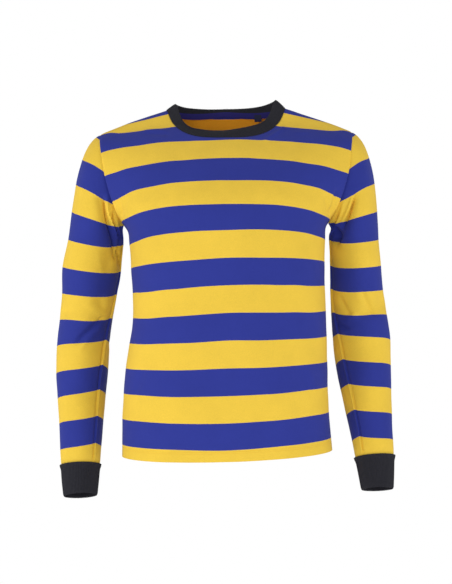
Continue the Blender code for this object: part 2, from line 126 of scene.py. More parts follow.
# Side seam and armhole edge of the body
EDGE_COLUMNS = ("level", "half_width", "height", "shift", "lean")
EDGE = (
    (0.000, 0.1945, -0.6490, 0.0022, 0.0120),
    (0.070, 0.1915, -0.5800, 0.0000, 0.0125),
    (0.166, 0.1875, -0.4865, 0.0005, 0.0125),
    (0.262, 0.1802, -0.3925, 0.0065, 0.0135),
    (0.358, 0.1812, -0.2995, 0.0030, 0.0125),
    (0.406, 0.1836, -0.2555, 0.0020, 0.0100),
    (0.432, 0.1866, -0.2310, 0.0010, 0.0070),
    (0.445, 0.1930, -0.2217, 0.0000, 0.0050),
    (0.502, 0.2120, -0.1832, 0.0010, 0.0060),
    (0.550, 0.2265, -0.1338, 0.0010, 0.0045),
    (0.598, 0.2360, -0.0810, 0.0000, 0.0045),
    (0.654, 0.2411, -0.0525, 0.0000, 0.0050),
    (0.690, 0.2429, -0.0425, 0.0000, 0.0057),
    (0.710, 0.2432, -0.0405, 0.0000, 0.0060),
)
SIDE_DEPTH = -0.012
SHOULDER_DEPTH = 0.026
ARMHOLE_COLUMNS = ("level", "front", "back")
ARMHOLE = (
    (0.445, SIDE_DEPTH, SIDE_DEPTH),
    (0.470, -0.036, 0.030),
    (0.502, -0.048, 0.052),
    (0.550, -0.048, 0.068),
    (0.598, -0.033, 0.072),
    (0.654, -0.008, 0.062),
    (0.690, 0.010, 0.044),
    (0.710, SHOULDER_DEPTH, SHOULDER_DEPTH),
)

# Middle of each panel, and how its section bends round to the edge
MIDDLE_COLUMNS = ("level", "depth", "height", "power", "turn", "fall")
FRONT = (
    (0.000, -0.1250, -0.6516, 2.3, 0.50, 2.0),
    (0.118, -0.1370, -0.5362, 2.3, 0.50, 2.0),
    (0.214, -0.1405, -0.4405, 2.3, 0.50, 2.0),
    (0.310, -0.1395, -0.3447, 2.3, 0.50, 2.0),
    (0.358, -0.1415, -0.2970, 2.3, 0.50, 2.0),
    (0.406, -0.1425, -0.2490, 2.3, 0.50, 2.0),
    (0.440, -0.1385, -0.2155, 2.4, 0.50, 2.0),
    (0.470, -0.1300, -0.1870, 2.8, 0.68, 2.0),
    (0.502, -0.1165, -0.1568, 2.9, 0.82, 2.0),
    (0.550, -0.0915, -0.1113, 2.8, 0.90, 2.0),
    (0.598, -0.0600, -0.0709, 2.4, 0.95, 2.0),
    (0.650, -0.0140, -0.0188, 2.2, 1.00, 1.8),
    (0.690, 0.0130, 0.0278, 2.0, 1.00, 1.5),
    (0.710, 0.0300, 0.0376, 2.0, 1.00, 1.28),
)
BACK = (
    (0.000, 0.0950, -0.6680, 2.3, 0.50, 2.0),
    (0.100, 0.0910, -0.5710, 2.3, 0.50, 2.0),
    (0.200, 0.0840, -0.4735, 2.3, 0.50, 2.0),
    (0.300, 0.0870, -0.3760, 2.3, 0.50, 2.0),
    (0.400, 0.1010, -0.2790, 2.3, 0.50, 2.0),
    (0.440, 0.1060, -0.2400, 2.5, 0.50, 2.0),
    (0.470, 0.1090, -0.2100, 2.8, 0.66, 2.0),
    (0.502, 0.1110, -0.1780, 3.0, 0.78, 2.0),
    (0.550, 0.1110, -0.1310, 3.0, 0.86, 1.9),
    (0.598, 0.1060, -0.0840, 2.9, 0.92, 1.7),
    (0.640, 0.0960, -0.0360, 2.7, 0.95, 1.5),
    (0.670, 0.0850, 0.0105, 2.6, 0.97, 1.4),
    (0.690, 0.0620, 0.0300, 2.4, 0.98, 1.3),
    (0.710, 0.0300, 0.0376, 2.0, 1.00, 1.28),
)

# Rings of a sleeve at lengths down it
RING_COLUMNS = ("down", "out", "depth", "height", "half_width", "half_depth", "twist")
RIGHT_SLEEVE = (
    (0.200, 0.2500, 0.012, -0.2543, 0.0511, 0.060, 0.0),
    (0.244, 0.2582, 0.018, -0.3060, 0.0545, 0.060, 4.0),
    (0.292, 0.2632, 0.025, -0.3546, 0.0512, 0.057, 10.0),
    (0.341, 0.2694, 0.029, -0.4009, 0.0492, 0.055, 18.0),
    (0.390, 0.2733, 0.026, -0.4460, 0.0492, 0.053, 26.0),
    (0.438, 0.2737, 0.017, -0.4925, 0.0485, 0.050, 32.0),
    (0.486, 0.2726, 0.006, -0.5394, 0.0447, 0.047, 35.0),
    (0.535, 0.2707, -0.006, -0.5872, 0.0406, 0.043, 36.0),
    (0.583, 0.2693, -0.019, -0.6340, 0.0371, 0.039, 36.0),
    (0.620, 0.2675, -0.029, -0.6700, 0.0345, 0.036, 36.0),
    (0.650, 0.2660, -0.038, -0.6975, 0.0322, 0.034, 36.0),
    (0.677, 0.2642, -0.046, -0.7225, 0.0292, 0.031, 36.0),
)
LEFT_SLEEVE = (
    (0.200, 0.2454, 0.012, -0.2495, 0.0456, 0.060, 0.0),
    (0.244, 0.2490, 0.018, -0.2990, 0.0474, 0.060, 4.0),
    (0.292, 0.2515, 0.025, -0.3460, 0.0497, 0.058, 10.0),
    (0.341, 0.2558, 0.029, -0.3910, 0.0518, 0.056, 20.0),
    (0.390, 0.2597, 0.026, -0.4345, 0.0538, 0.054, 30.0),
    (0.438, 0.2612, 0.017, -0.4805, 0.0518, 0.051, 36.0),
    (0.486, 0.2640, 0.006, -0.5265, 0.0473, 0.047, 40.0),
    (0.535, 0.2675, -0.006, -0.5735, 0.0419, 0.043, 42.0),
    (0.583, 0.2710, -0.019, -0.6195, 0.0370, 0.039, 42.0),
    (0.620, 0.2735, -0.029, -0.6550, 0.0345, 0.036, 42.0),
    (0.650, 0.2745, -0.038, -0.6838, 0.0312, 0.033, 42.0),
    (0.677, 0.2750, -0.046, -0.7110, 0.0278, 0.030, 42.0),
)
SLEEVES = {"right": (-1, RIGHT_SLEEVE), "left": (1, LEFT_SLEEVE)}

# How the cloth leaves the armhole at the shoulder point, half way down and at the underarm
CAP_COLUMNS = ("turn", "outward", "carry", "arrive")
CAP = (
    (0.0, 0.92, 0.155, 0.24),
    (0.5, 0.70, 0.110, 0.14),
    (1.0, 0.55, 0.035, 0.04),
)
CAP_SWELL = -0.18  # how far it also turns forward from the front of the armhole and back from its back

# Creases. Each runs between two places, given by the share round or across the piece and the length
# along it: from across, from along, to across, to along, half width and height, below zero for a trough.
CREASES = {
    "front": (
        (0.935, 0.510, 0.965, 0.462, 0.0045, -0.0055),
        (0.86, 0.494, 0.935, 0.464, 0.0045, -0.0036),
        (0.905, 0.515, 0.945, 0.470, 0.0040, 0.0022),
        (0.62, 0.160, 0.68, 0.122, 0.0110, -0.0012),
        (0.75, 0.160, 0.85, 0.116, 0.0060, 0.0020),
        (0.69, 0.158, 0.77, 0.120, 0.0080, -0.0016),
        (-0.78, 0.168, -0.85, 0.118, 0.0080, -0.0018),
        (-0.94, 0.500, -0.965, 0.460, 0.0045, -0.0055),
        (-0.87, 0.496, -0.94, 0.466, 0.0055, -0.0030),
        (-0.64, 0.638, -0.44, 0.627, 0.0038, 0.0022),
        (-0.62, 0.628, -0.42, 0.617, 0.0045, -0.0014),
        (0.46, 0.634, 0.28, 0.597, 0.0040, 0.0020),
        (0.66, 0.628, 0.52, 0.622, 0.0038, 0.0016),
        (-0.30, 0.400, -0.55, 0.300, 0.0300, -0.0012),
        (0.35, 0.360, 0.52, 0.260, 0.0300, -0.0012),
    ),
    "back": (
        (0.90, 0.520, 0.97, 0.455, 0.0080, -0.0035),
        (-0.88, 0.530, -0.97, 0.455, 0.0080, -0.0035),
        (0.74, 0.500, 0.86, 0.455, 0.0110, -0.0025),
        (-0.70, 0.500, -0.86, 0.460, 0.0110, -0.0022),
        (0.20, 0.330, 0.55, 0.290, 0.0160, -0.0022),
        (-0.60, 0.300, -0.12, 0.270, 0.0160, -0.0020),
        (-0.15, 0.235, 0.35, 0.215, 0.0180, -0.0016),
        (0.55, 0.180, 0.72, 0.080, 0.0130, -0.0014),
        (-0.50, 0.190, -0.66, 0.090, 0.0130, -0.0014),
    ),
    "right": (
        (0.30, 0.115, 0.44, 0.215, 0.0130, -0.0050),
        (0.37, 0.085, 0.47, 0.170, 0.0090, 0.0035),
        (0.14, 0.330, 0.42, 0.300, 0.0160, -0.0045),
        (0.60, 0.120, 0.55, 0.230, 0.0140, -0.0045),
        (0.86, 0.345, 0.60, 0.315, 0.0160, -0.0040),
        (0.330, 0.118, 0.435, 0.215, 0.0042, -0.0095),
        (0.355, 0.112, 0.455, 0.195, 0.0034, 0.0040),
        (0.410, 0.112, 0.470, 0.225, 0.0042, -0.0095),
        (0.300, 0.216, 0.360, 0.243, 0.0018, 0.0014),
        (0.355, 0.205, 0.385, 0.240, 0.0110, -0.0030),
        (0.425, 0.330, 0.310, 0.398, 0.0055, -0.0048),
        (0.440, 0.350, 0.340, 0.415, 0.0060, 0.0022),
        (0.30, 0.300, 0.45, 0.325, 0.0090, 0.0022),
        (0.68, 0.150, 0.60, 0.240, 0.0070, -0.0040),
        (0.72, 0.360, 0.58, 0.390, 0.0070, -0.0036),
    ),
    "left": (
        (0.28, 0.120, 0.43, 0.205, 0.0130, -0.0050),
        (0.36, 0.080, 0.46, 0.165, 0.0090, 0.0035),
        (0.12, 0.310, 0.36, 0.345, 0.0160, -0.0045),
        (0.61, 0.115, 0.55, 0.225, 0.0140, -0.0045),
        (0.85, 0.320, 0.60, 0.350, 0.0160, -0.0040),
        (0.290, 0.128, 0.375, 0.168, 0.0042, -0.0085),
        (0.310, 0.120, 0.395, 0.160, 0.0034, 0.0036),
        (0.385, 0.105, 0.455, 0.150, 0.0042, -0.0095),
        (0.490, 0.155, 0.385, 0.196, 0.0080, -0.0170),
        (0.480, 0.165, 0.430, 0.196, 0.0080, -0.0070),
        (0.270, 0.288, 0.232, 0.350, 0.0060, -0.0038),
        (0.415, 0.300, 0.375, 0.342, 0.0055, -0.0042),
        (0.480, 0.358, 0.415, 0.374, 0.0045, -0.0045),
        (0.30, 0.330, 0.42, 0.350, 0.0080, 0.0020),
        (0.68, 0.150, 0.60, 0.240, 0.0070, -0.0040),
        (0.74, 0.330, 0.60, 0.360, 0.0070, -0.0036),
    ),
}
CREASE_FADE = 0.016  # a crease dies out over this length of cloth at its ends
SEAM_CLEAR = 0.010  # and over this length at a seam

# How many millimetres the cloth's own length runs ahead of the level or the length down, where the cut
# curves: by level at shares of a panel's half width, and by length down at three places round a sleeve
LEAD_SHARES = (0.0, 0.35, 0.50, 0.65, 0.80, 0.90, 1.0)
FRONT_LEAD = (
    (0.000, (1, -1, -2, -2, -2, -2, -2)),
    (0.118, (1, 1, 1, 0, -1, -1, -1)),
    (0.212, (1, 3, 3, 3, 3, 2, 0)),
    (0.308, (1, 2, 3, 3, 4, 3, 0)),
    (0.356, (1, 2, 2, 2, 2, 2, 1)),
    (0.405, (1, 0, 0, 0, 1, 3, 3)),
    (0.453, (1, 0, -1, -1, 0, 2, 2)),
    (0.503, (1, -1, -3, -4, -5, -2, -1)),
    (0.550, (1, 1, 0, 0, -1, 0, 0)),
    (0.597, (1, 1, 1, 3, 3, 4, 7)),
    (0.640, (6, 8, 9, 6, -1, -8, -14)),
    (0.675, (20, 21, 21, 18, 8, -20, -30)),
    (0.710, (20, 21, 21, 16, 2, -26, -34)),
)
BACK_LEAD = (
    (0.000, (0, 1, 1, 1, 1, 1, 1)),
    (0.445, (0, 0, 0, 1, 2, 3, 4)),
    (0.550, (0, -1, -1, 0, 5, 11, 20)),
    (0.600, (0, -1, -1, 1, 7, 14, 24)),
    (0.640, (8, 2, -2, -5, -6, -2, 8)),
    (0.670, (28, 10, 4, -6, -13, -14, -6)),
    (0.710, (36, 30, 21, 6, -12, -24, -20)),
)
SLEEVE_LEAD_COLUMNS = ("down", "outer", "front", "inner")
SLEEVE_LEAD = (
    (0.000, -34, -30, -10),
    (0.070, -24, -26, -8),
    (0.117, -16, -20, -4),
    (0.160, -11, -15, 0),
    (0.205, -6, -9, 0),
    (0.243, -1, -1, 4),
    (0.290, -1, 2, 8),
    (0.343, -8, -5, 9),
    (0.400, -11, -12, 3),
    (0.450, -14, -15, -2),
    (0.495, -13, -13, -1),
    (0.545, -12, -12, -2),
    (0.590, -10, -11, -3),
    (0.620, -9, -9, -4),
)
MILLIMETRE = 0.001
SLEEVE_FRONT = 0.28  # share round a sleeve at which its front column lies

# Each panel's middle and lead, the side its outer face turns to, and the phase of its slow waves
PANELS = {"front": (FRONT, FRONT_LEAD, 1, 0.6), "back": (BACK, BACK_LEAD, -1, 2.3)}

# Pieces of jersey: node in the CAD, and width, length and area as cut
JERSEY_PIECES = {
    "front_cloth": ("front_panel", (0.490, 0.710), 0.325),
    "back_cloth": ("back_panel", (0.490, 0.720), 0.325),
    "sleeve_right_cloth": ("sleeve_right", (0.350, 0.620), 0.175),
    "sleeve_left_cloth": ("sleeve_left", (0.350, 0.620), 0.172),
}

# Stripes: height of one, where the first edge lies above the hem, and where it lies down the sleeve
STRIPE = 0.048
HEM_EDGE = 0.0218
SLEEVE_STRIPE = 0.0484
SLEEVE_EDGE = 0.050

# Hem: the turn-up inside with its step and thickness, the two rows of stitches that hold it, how far they
# pull the cloth in, and the ridge of the turned edge
HEM_TURN = 0.0205
HEM_STEP = 0.0012
HEM_LAYER = 1.15
HEM_ROWS = (0.0150, 0.0180)
HEM_PULL = 0.00025
HEM_RIDGE = 0.00035
HEM_RIDGE_WIDTH = 0.0016
STITCH_PITCH = 0.0034
STITCH_LENGTH = 0.0028
STITCH_LIFT = 0.2  # how far a stitch's middle stands off the cloth, in widths of the thread
THREAD = 0.00042

# Seams: how deep the cloth dips to one and how wide, how far an edge may be drawn out to meet another, and
# the ridge and ditch of the seam under the sleeve, with the length down where they begin
SEAM_DIP = 0.0009
SEAM_WIDTH = 0.0026
LEAST_FACING = 0.6
SHARP_ANGLE = 55
ARM_RIDGE = 0.0020
ARM_DITCH = 0.0024
ARM_RIDGE_WIDTH = 0.0014
ARM_RIDGE_START = 0.15
ARM_RIDGE_FADE = 0.03

# Soft unevenness of cloth that hangs: height, lengths of its waves across and along, and the turn and size
# of each of its waves
DRIFT = 0.0011
DRIFT_ACROSS = 0.150
DRIFT_ALONG = 0.210
DRIFT_WAVES = ((0.0, 1.0), (1.9, 0.62), (4.1, 0.41))
DRIFT_ON_SLEEVE = 0.7

# Tape over the neck seam inside the back, and the label on it: points round the neck, how far both lean out
# below the seam, the bearing past which the tape runs, the lowest and highest edge of each above the seam,
# and how far each lies off what is under it, at the tape's edges and at the label's free end
TAPE_POINTS = 400
TAPE_LEAN = 0.24
TAPE_BEARING = 100.0
TAPE_SPAN = (-0.0020, 0.0100)
TAPE_ROWS = 9
TAPE_CLEAR = 0.0003
TAPE_EDGE = 0.0006
LABEL_SIDES = (0.0580, 0.0740)
LABEL_SPAN = (-0.0075, 0.0065)
LABEL_ROWS = 12
LABEL_CLEAR = 0.0005
LABEL_FREE = 0.0012

# Finishes, in sRGB
BLUE = "#2D3790"
YELLOW = "#EAC444"
# Yellow for the reverse of the jersey: a deeper orange, painted shade for the dim warm light inside the
# shirt
YELLOW_INSIDE_PAINTED_SHADE = "#F7A426"
RIB_DARK = "#202026"
RIB_LIGHT = "#2C2C33"
# Neck tape: the jersey's blue painted darker as painted shade inside the neck, in two tones for its fine
# lines
TAPE_DARK_PAINTED_SHADE = "#221F5A"
TAPE_LIGHT_PAINTED_SHADE = "#2C2870"
LABEL_DARK = "#15162C"
LABEL_LIGHT = "#22244A"
THREAD_DARK = "#D0A02C"
THREAD_GOLD = "#E3B83C"
FLOOR = "#F4F4F2"

# The camera of the photograph, whose frame is 452 by 584 pixels
FRAME_WIDTH = 452
FOCAL_PIXELS = 850.16
CAMERA_PLACE = (0.0, -1.61, -0.4496)
CAMERA_PITCH = 3.567
SENSOR = 36.0

# Studio: round floor, light from the white surround, and soft boxes with place, width, height and power
FLOOR_RADIUS = 1.85
FLOOR_HEIGHT = -1.45
FLOOR_SIDES = 96
SURROUND_LIGHT = 0.38
LIT_MIDDLE = (0.0, 0.0, -0.35)
SOFTBOXES = (
    ("left_softbox", (-2.4, -1.1, -0.1), 1.2, 1.8, 34.0),
    ("right_softbox", (2.4, -1.1, -0.1), 1.2, 1.8, 27.0),
    ("front_softbox", (-0.2, -2.7, -0.8), 1.6, 1.6, 24.0),
    ("rear_softbox", (0.6, 2.6, 0.2), 1.6, 1.6, 22.0),
)


def column(table, names, name):
    return np.array([row[names.index(name)] for row in table], float)


def between(t, start, end, start_slope, end_slope):
    """A cubic from start to end with the slopes given, at share t."""
    to_end = 3 * t**2 - 2 * t**3
    straight = (1 - to_end) * start + to_end * end
    return straight + (t**3 - 2 * t**2 + t) * start_slope + (t**3 - t**2) * end_slope


def smooth(stations, values, where):
    """A smooth curve through the values at the stations, read at where."""
    where = np.asarray(where, float)
    slopes = np.gradient(values, stations)
    low = np.clip(np.searchsorted(stations, where, "right") - 1, 0, len(stations) - 2)
    step = stations[low + 1] - stations[low]
    t = (where - stations[low]) / step
    return between(t, values[low], values[low + 1], step * slopes[low], step * slopes[low + 1])


def read(table, names, name, where):
    """One named column of a table as a smooth curve along its first column."""
    return smooth(column(table, names, names[0]), column(table, names, name), where)


def read_all(table, names, where):
    """Every column after the first as such a curve, in the order of their names."""
    return [read(table, names, name, where) for name in names[1:]]


def unit(vectors):
    return vectors / np.maximum(np.linalg.norm(vectors, axis=-1, keepdims=True), 1e-12)


def soft_step(values):
    """A smooth rise from 0 to 1."""
    values = np.clip(values, 0, 1)
    return values * values * (3 - 2 * values)


def bell(values):
    """A smooth hump of height 1 round 0."""
    return np.exp(-(values**2))


def run_of(points):
    """Length from the first row of points to each row, point by point."""
    run = np.cumsum(np.linalg.norm(np.diff(points, axis=0), axis=-1), axis=0)
    return np.concatenate([np.zeros_like(run[:1]), run])


def close_ring(ring):
    return np.concatenate([ring, ring[:1]])


def panel_points(face, share, level):
    """Points of the front or back panel's middle: share is -1 to 1 across it, level is along it."""
    half_width, edge_height, shift, lean = read_all(EDGE, EDGE_COLUMNS, level)
    edge_depth = read(ARMHOLE, ARMHOLE_COLUMNS, face, np.maximum(level, UNDERARM))
    depth, height, power, turn, fall = read_all(PANELS[face][0], MIDDLE_COLUMNS, level)
    out = np.minimum(np.abs(share), 1.0)
    bow = (1 - out**power) ** turn
    x = half_width * share + shift
    y = edge_depth + (depth - edge_depth) * bow
    z = height + (edge_height - height) * out**fall + lean * share / 2
    return np.stack([x, y, z], axis=-1)


def top_level(face, share):
    """The level at which a column of the panel ends: at the neck seam or the shoulder seam."""
    low, power = NECK[face]
    inside = np.minimum(np.abs(share) / NECK_SHARE, 1.0)
    return SHOULDER - (SHOULDER - low) * np.sqrt(1 - inside**power)


def lines(start, end, count, near_start=False, near_end=False):
    """Evenly spaced stations, with extra ones next to an end that lies on a seam."""
    even = np.linspace(start, end, count + 1)
    step = (end - start) / count
    extra = []
    if near_start:
        extra += [start + step * share for share in NEAR_SEAM]
    if near_end:
        extra += [end - step * share for share in NEAR_SEAM]
    return np.sort(np.concatenate([even, extra]))


def neck_shares(finer):
    """Shares across the neck, closer together towards the neck points."""
    quarter = math.pi / 2
    return NECK_SHARE * np.sin(np.linspace(-quarter, quarter, NECK_COLUMNS * FINER * finer + 1))


def panel_shares():
    """Shares across a panel, closer together towards the neck points and the side seams."""
    angles = np.linspace(math.asin(NECK_SHARE), math.pi / 2, SHOULDER_COLUMNS * FINER + 1)
    side = np.sin(angles[1:])
    return np.concatenate([-side[::-1], neck_shares(1), side])


def yoke_shares():
    return lines(0, 1, YOKE_ROWS * FINER, near_start=True, near_end=True)


def panel_grid(face):
    """Share and level of each point of a panel's grid, hem first."""
    share = panel_shares()
    below = lines(0, UNDERARM, BODY_ROWS * FINER, near_start=True)
    top = top_level(face, share)
    low_rows = np.repeat(below[:, None], len(share), axis=1)
    high_rows = UNDERARM + yoke_shares()[1:, None] * (top - UNDERARM)[None, :]
    level = np.concatenate([low_rows, high_rows])
    return np.repeat(share[None, :], len(level), axis=0), level


def armhole(side):
    """The armhole seam as a closed ring: shoulder point, front, underarm, back. With each point's turn,
    from 0 at the shoulder point to 1 at the underarm and 2 back at the shoulder."""
    levels = UNDERARM + yoke_shares() * (SHOULDER - UNDERARM)
    front, back = (panel_points(face, np.full(len(levels), float(side)), levels)[::-1] for face in PANELS)
    front_turn, back_turn = (run_of(half) / run_of(half)[-1] for half in (front, back))
    ring = np.concatenate([front, back[::-1][1:-1]])
    return ring, np.concatenate([front_turn, 2 - back_turn[::-1][1:-1]])


def sleeve_ring(side, table, turn, down):
    """Points of a ring round the arm and the arm's direction there."""
    near = down + RING_STEP * np.array([-1, 0, 1])
    out, depth, height, half_width, half_depth, twist = read_all(table, RING_COLUMNS, near)
    middles = np.stack([side * out, depth, height], axis=-1)
    along = unit(middles[2] - middles[0])
    outward = np.array([side, 0.0, 0.0])
    outward = unit(outward - along * outward.dot(along))
    forward = unit(np.cross(along, outward)) * side
    angle = math.pi * turn - math.radians(twist[1])
    ring = (
        middles[1]
        + half_width[1] * np.cos(angle)[:, None] * outward
        + half_depth[1] * np.sin(angle)[:, None] * forward
    )
    return ring, along


def cap_points(side, table, ring, turn, share):
    """A row of the sleeve cap, from the armhole at share 0 to the first whole ring at share 1."""
    end, along = sleeve_ring(side, table, turn, CAP_END)
    outward, carry, arrive = read_all(CAP, CAP_COLUMNS, np.minimum(turn, 2 - turn))
    swell = CAP_SWELL * np.sin(math.pi * turn)
    leave = unit(np.stack([side * outward, swell, -np.sqrt(1 - outward**2)], axis=-1))
    return between(share, ring, end, leave * carry[:, None], along[None, :] * arrive[:, None])


def cap_downs(rows, turn):
    """Length down the sleeve at each point of the cap, in step with the cloth's own run."""
    bend = np.minimum(turn, 2 - turn)
    start = UNDERARM_DOWN * np.where(bend < CAP_ROUND, (bend**2 / CAP_ROUND + CAP_ROUND) / 2, bend)
    run = run_of(rows)
    return start + (CAP_END - start) * run / run[-1]


def sleeve_grid(side, table):
    """A sleeve from the armhole to the cuff seam, with the length down it at each point."""
    ring, turn = armhole(side)
    shares = lines(0, 1, CAP_ROWS * FINER, near_start=True)
    cap = np.array([cap_points(side, table, ring, turn, share) for share in shares])
    lengths = lines(CAP_END, SLEEVE_LENGTH, SLEEVE_ROWS * FINER, near_end=True)[1:]
    arm = np.array([sleeve_ring(side, table, turn, down)[0] for down in lengths])
    arm_downs = np.repeat(lengths[:, None], len(turn), axis=1)
    downs = np.concatenate([cap_downs(cap, turn), arm_downs])
    return np.concatenate([cap, arm]), downs, turn


def neck_seam():
    """The neck seam as a closed ring: along the front from the wearer's right, then the back."""
    share = neck_shares(NECK_FINER)
    front, back = (panel_points(face, share, top_level(face, share)) for face in PANELS)
    return np.concatenate([front, back[::-1][1:-1]])


def evenly(ring, count):
    """A closed ring of points spaced again at even lengths, with the length at each."""
    closed = close_ring(ring)
    run = run_of(closed)
    where = np.linspace(0, run[-1], count + 1)[:-1]
    return np.stack([np.interp(where, run, closed[:, k]) for k in range(3)], axis=-1), where


def surface_normals(grid, closed, sign):
    """Unit normals of a grid of points, whose rows may close on themselves."""
    along = np.gradient(grid, axis=0)
    if closed:
        around = (np.roll(grid, -1, axis=1) - np.roll(grid, 1, axis=1)) / 2
    else:
        around = np.gradient(grid, axis=1)
    return unit(np.cross(around, along) * sign)


def crease_height(creases, across, along, across_length):
    """Height of the creases at places on a piece that is across_length wide there."""
    total = np.zeros_like(along)
    width = np.mean(across_length)
    for from_across, from_along, to_across, to_along, half_width, height in creases:
        way = np.array([(to_across - from_across) * width, to_along - from_along])
        length = np.linalg.norm(way)
        way = way / length
        x = (across - from_across) * across_length
        y = along - from_along
        ahead = x * way[0] + y * way[1]
        aside = x * way[1] - y * way[0]
        ends = soft_step(ahead / CREASE_FADE + 0.5) * soft_step((length - ahead) / CREASE_FADE + 0.5)
        total += height * ends * bell(aside / half_width)
    return total


def drift_height(across, along, phase):
    """Slow waves of cloth that hangs free, the sum of a few that cross."""
    waves = 0
    for turn, scale in DRIFT_WAVES:
        u = 2 * math.pi * (across * math.cos(turn) / DRIFT_ACROSS + along * math.sin(turn) / DRIFT_ALONG)
        w = 2 * math.pi * (along / DRIFT_ALONG - across * math.sin(turn) / DRIFT_ACROSS)
        waves = waves + scale * np.sin(u / scale + phase + turn) * np.cos(w / scale + phase * 1.7)
    return DRIFT * waves / 2


class Cloth:
    """A piece of cloth: the grid of its middle, each point's place on the cloth, and its thickness."""

    def __init__(self, name, grid, place, thickness, wrap=None, sign=1, seam_rows=(), flat=None):
        self.name = name
        self.grid = grid
        self.place = place
        self.thickness = np.full(grid.shape[:2], thickness)
        self.wrap = wrap  # length of cloth round a tube, none for a flat piece
        self.closed = wrap is not None
        self.sign = sign
        self.seam_rows = seam_rows
        self.flat = flat  # width and height as cut
        self.normals = surface_normals(grid, self.closed, sign)
        self.relief = np.zeros(grid.shape[:2])
        self.extra_inside = np.zeros(grid.shape[:2])

    def raise_by(self, height):
        self.grid = self.grid + self.normals * height[..., None]

    def border(self):
        rows, columns = self.grid.shape[:2]
        found = [(i, j) for i in (0, rows - 1) for j in range(columns)]
        if not self.closed:
            found += [(i, j) for i in range(1, rows - 1) for j in (0, columns - 1)]
        return found


def even_places(across, along):
    """The place on the cloth at each point of a grid with even rows and columns."""
    return np.stack(np.meshgrid(across, along), axis=-1)


def seam_key(point):
    """A seam point to a hundredth of a millimetre, the same for every piece that meets there."""
    return tuple(np.round(point, 5) + 0.0)


def share_seams(pieces):
    """The direction of the cut edge at each seam point, common to all the pieces that meet there."""
    meeting = {}
    for piece in pieces:
        for i, j in piece.border():
            meeting.setdefault(seam_key(piece.grid[i, j]), []).append(piece.normals[i, j])
    shared = {}
    for key, normals in meeting.items():
        mean = unit(np.sum(normals, axis=0))
        shared[key] = mean / max(np.mean([mean.dot(n) for n in normals]), LEAST_FACING)
    return shared


def reach_from(grid, edge):
    """Length along the grid's columns from its first or last row, at each point."""
    return run_of(grid) if edge == 0 else run_of(grid[::-1])[::-1]


def seam_distance(piece):
    """How far each point lies from the nearest seam of its piece, along the grid."""
    reaches = [reach_from(piece.grid, edge) for edge in piece.seam_rows]
    if not piece.closed:
        turned = piece.grid.transpose(1, 0, 2)
        reaches += [reach_from(turned, edge).T for edge in (0, -1)]
    return np.min(reaches, axis=0)


def finish_seams(pieces):
    """Creases, the dip at the seams and the common direction of the cut edges, on all the pieces."""
    shared = share_seams(pieces)
    for piece in pieces:
        distance = seam_distance(piece)
        height = piece.relief * soft_step(distance / SEAM_CLEAR)
        height -= SEAM_DIP * bell(distance / SEAM_WIDTH)
        edges = {place: shared[seam_key(piece.grid[place])] for place in piece.border()}
        for place, direction in edges.items():
            piece.normals[place] = direction
        piece.raise_by(height)
        piece.normals = surface_normals(piece.grid, piece.closed, piece.sign)
        for place, direction in edges.items():
            piece.normals[place] = direction


def grid_faces(index):
    """The four corners of every face of a grid of point numbers."""
    corners = [index[:-1, :-1], index[:-1, 1:], index[1:, 1:], index[1:, :-1]]
    return np.stack(corners, axis=-1).reshape(-1, 4)


def cloth_mesh(piece):
    """A closed wall round the piece's middle, with its UV map in metres of cloth, and an attribute that is
    1 on the reverse of the cloth, which marks where the jersey's yellow is painted deeper as painted shade."""
    rows, columns = piece.grid.shape[:2]
    half = piece.thickness / 2
    outer = piece.grid + piece.normals * half[..., None]
    inner = piece.grid - piece.normals * (half + piece.extra_inside)[..., None]
    points = np.concatenate([outer.reshape(-1, 3), inner.reshape(-1, 3)])
    under = rows * columns
    face = np.arange(under).reshape(rows, columns)
    if piece.closed:
        face = np.hstack([face, face[:, :1]])
    reverse = face + under
    walls = [(face[0] + under, face[0]), (face[-1], face[-1] + under)]
    if not piece.closed:
        walls += [(face[:, 0], reverse[:, 0]), (reverse[:, -1], face[:, -1])]
    faces = [grid_faces(face), grid_faces(reverse)[:, [0, 3, 2, 1]]]
    faces = np.concatenate(faces + [grid_faces(np.stack(wall)) for wall in walls])
    if piece.sign < 0:
        faces = faces[:, ::-1]
    mesh = bpy.data.meshes.new(piece.name)
    mesh.from_pydata(points.tolist(), [], faces.tolist())
    place = piece.place.reshape(-1, 2)[faces.ravel() % under]
    if piece.closed:
        quads = place[:, 0].reshape(-1, 4)
        crossing = np.ptp(quads, axis=1) > piece.wrap / 2
        quads = np.where(crossing[:, None] & (quads < piece.wrap / 2), quads + piece.wrap, quads)
        place = np.stack([quads.reshape(-1), place[:, 1]], axis=-1)
    layer = mesh.uv_layers.new(name="ClothMetres")
    layer.data.foreach_set("uv", place.astype(np.float32).ravel())
    # 1 on the reverse of the cloth, where the jersey's yellow is painted deeper as painted shade
    add_attribute(mesh, "reverse_side_painted_shade", np.repeat([0.0, 1.0], under))
    mesh.shade_smooth()
    mesh.set_sharp_from_angle(angle=math.radians(SHARP_ANGLE))
    mesh.update()
    return mesh


def add_attribute(mesh, name, values):
    made = mesh.attributes.new(name, "FLOAT", "POINT")
    made.data.foreach_set("value", values.astype(np.float32))


def link_object(name, data):
    made = bpy.data.objects.new(name, data)
    bpy.context.scene.collection.objects.link(made)
    return made


def add_object(name, mesh, material):
    mesh.materials.append(material)
    return link_object(name, mesh)


def lead_at(table, share, level):
    """How far the cloth's length runs ahead at places on a panel, the same on both sides of its middle."""
    levels = np.array([row[0] for row in table])
    leads = MILLIMETRE * np.array([row[1] for row in table])
    curves = np.stack([smooth(levels, lead, level) for lead in leads.T])
    slopes = np.gradient(curves, LEAD_SHARES, axis=0)
    slopes[0] = 0
    shares = np.array(LEAD_SHARES)
    out = np.abs(share)
    low = np.clip(np.searchsorted(shares, out, "right") - 1, 0, len(shares) - 2)
    step = shares[low + 1] - shares[low]
    start, end = (low, *np.indices(level.shape)), (low + 1, *np.indices(level.shape))
    t = (out - shares[low]) / step
    return between(t, curves[start], curves[end], step * slopes[start], step * slopes[end])


